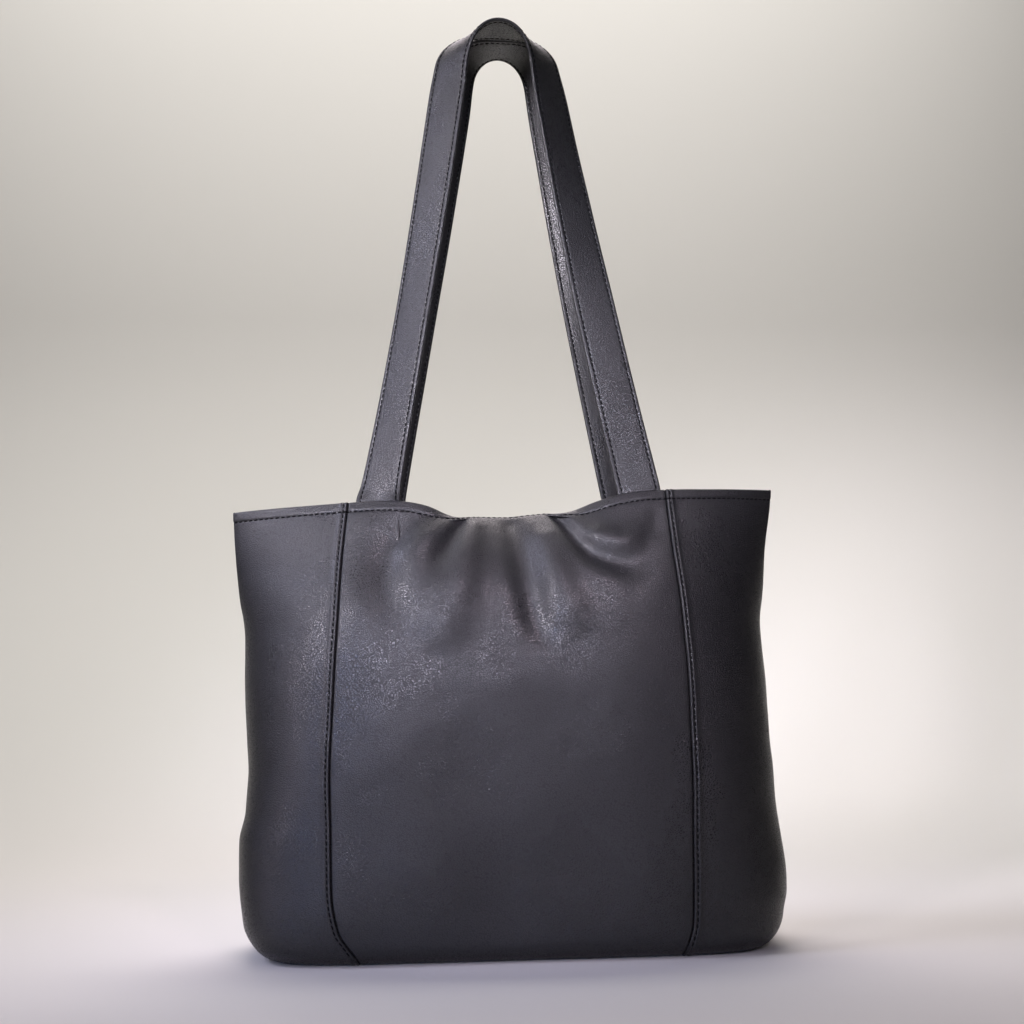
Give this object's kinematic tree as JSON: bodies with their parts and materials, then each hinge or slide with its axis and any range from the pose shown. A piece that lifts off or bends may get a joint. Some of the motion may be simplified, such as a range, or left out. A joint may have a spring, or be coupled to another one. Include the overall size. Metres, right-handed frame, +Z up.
{
  "type": "tote diaper bag",
  "caption": "Soft black grained-leather tote used as a diaper bag, with two looped shoulder straps, a magnetic snap at the mouth and lined inner pockets.",
  "frame": {"origin": "under the middle of the flat base, on the surface that the bag stands on", "axes": "+Z up, +X to the viewer's right when facing the front, -Y out of the front"},
  "size_m": [0.4162, 0.148, 0.7281],
  "materials": {
    "black_leather": "pebbled grain, semi-gloss",
    "lining_cloth": "plain woven cotton, matte",
    "elastic_binding": "ribbed elastic, matte",
    "base_board": "matte board",
    "strap_filler": "pressed fibre, matte",
    "snap_metal": "satin nickel",
    "magnet": "sintered, dull",
    "zip_tape": "herringbone weave, matte",
    "zip_coil": "nylon, satin",
    "zip_metal": "satin nickel"
  },
  "bodies": {
    "bag": {"front_centre_panel": "black_leather", "front_left_panel": "black_leather", "front_right_panel": "black_leather", "back_centre_panel": "black_leather", "back_left_panel": "black_leather", "back_right_panel": "black_leather", "front_facing": "black_leather", "back_facing": "black_leather", "front_lining": "lining_cloth", "back_lining": "lining_cloth", "base_board": "base_board", "front_left_strap_tail": "black_leather", "front_right_strap_tail": "black_leather", "back_left_strap_tail": "black_leather", "back_right_strap_tail": "black_leather", "slip_pocket": "lining_cloth", "slip_pocket_elastic": "elastic_binding", "zip_pocket_bag": "lining_cloth", "zip_welt": "black_leather", "zip_tape": "zip_tape", "zip_coil": "zip_coil", "zip_end_stops": "zip_metal", "back_snap_stud": "snap_metal", "back_snap_washer": "snap_metal"},
    "front_strap": {"front_strap_outer": "black_leather", "front_strap_core": "strap_filler", "front_strap_inner": "black_leather"},
    "back_strap": {"back_strap_outer": "black_leather", "back_strap_core": "strap_filler", "back_strap_inner": "black_leather"},
    "front_lip": {"front_snap_cup": "snap_metal", "front_snap_magnet": "magnet", "front_snap_back_plate": "snap_metal", "front_snap_washer": "snap_metal"},
    "slider": {"zip_slider": "zip_metal"},
    "pull": {"zip_pull": "zip_metal"}
  },
  "joints": [
    {"name": "front_strap_swing", "type": "hinge", "parent": "bag", "child": "front_strap", "pos_m": [0, -0.0378, 0.3395], "axis": [1, 0, 0], "range_deg": [0, 150]},
    {"name": "back_strap_swing", "type": "hinge", "parent": "bag", "child": "back_strap", "pos_m": [0, 0.0378, 0.3395], "axis": [-1, 0, 0], "range_deg": [0, 150]},
    {"name": "mouth_open", "type": "slide", "parent": "bag", "child": "front_lip", "axis": [0, -1, 0], "range_m": [0, 0.045], "deforming": ["front_centre_panel", "front_facing", "front_lining"]},
    {"name": "zip_travel", "type": "slide", "parent": "bag", "child": "slider", "axis": [1, 0, 0], "range_m": [0, 0.144]},
    {"name": "zip_pull_swing", "type": "hinge", "parent": "slider", "child": "pull", "pos_m": [-0.072, 0.05665, 0.178], "axis": [-1, 0, 0], "range_deg": [0, 110]}
  ]
}
